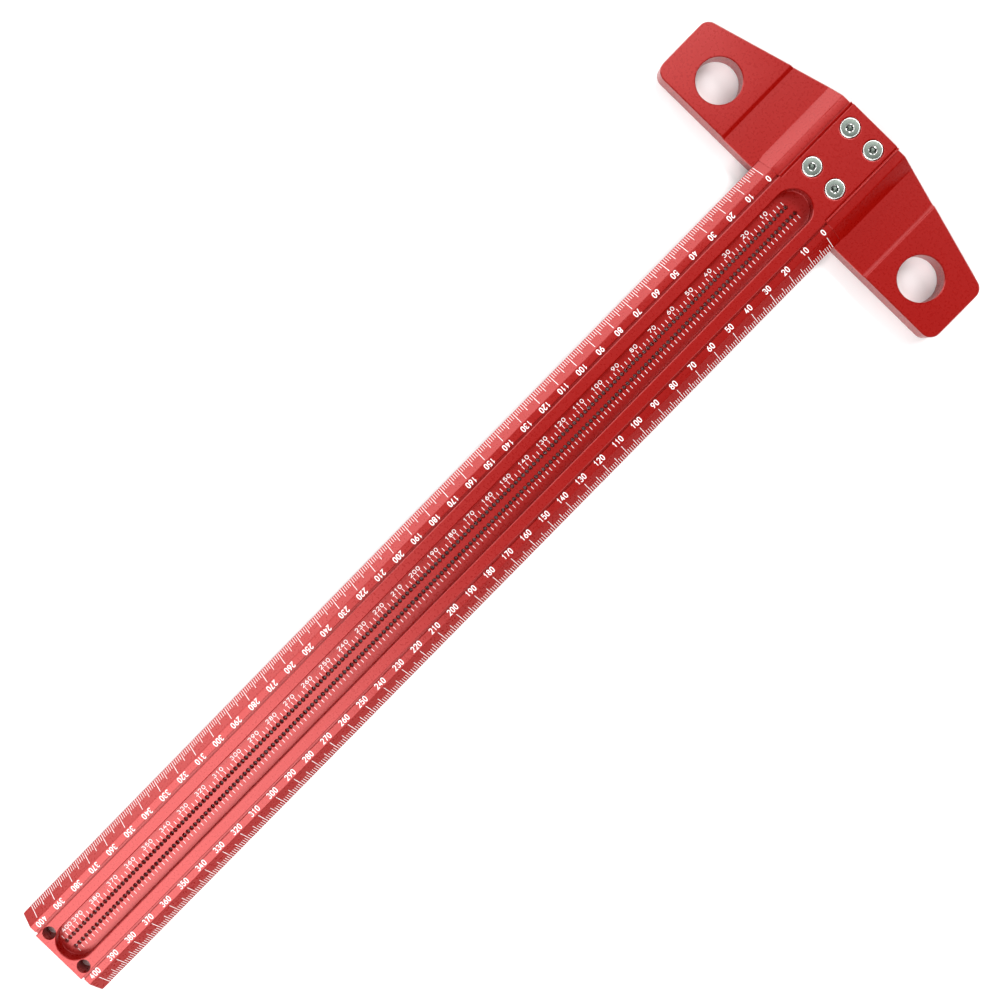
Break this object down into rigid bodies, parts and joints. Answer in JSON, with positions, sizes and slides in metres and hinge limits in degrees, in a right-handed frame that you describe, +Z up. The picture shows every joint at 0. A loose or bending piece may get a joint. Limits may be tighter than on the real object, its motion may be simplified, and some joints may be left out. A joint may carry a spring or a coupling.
{
  "type": "t square",
  "caption": "Slotted, bevelled rule with rows of pencil holes, screwed at right angles across a fence bar with two wing holes.",
  "frame": {"origin": "where the rule's centre line meets the fence face, level with the rule's underside, which is the scale's zero mark", "axes": "+Y out along the rule away from the fence, +Z up out of the graduated side, +X along the fence"},
  "size_m": [0.1464, 0.4461, 0.016],
  "materials": {
    "anodised_red": "satin, bead-blasted and anodised",
    "screw_steel": "satin",
    "scale_marks": "matt white laser mark"
  },
  "bodies": {
    "root": {"blade": "anodised_red", "head": "anodised_red", "screw_front_left": "screw_steel", "screw_front_right": "screw_steel", "screw_rear_left": "screw_steel", "screw_rear_right": "screw_steel"}
  },
  "joints": []
}
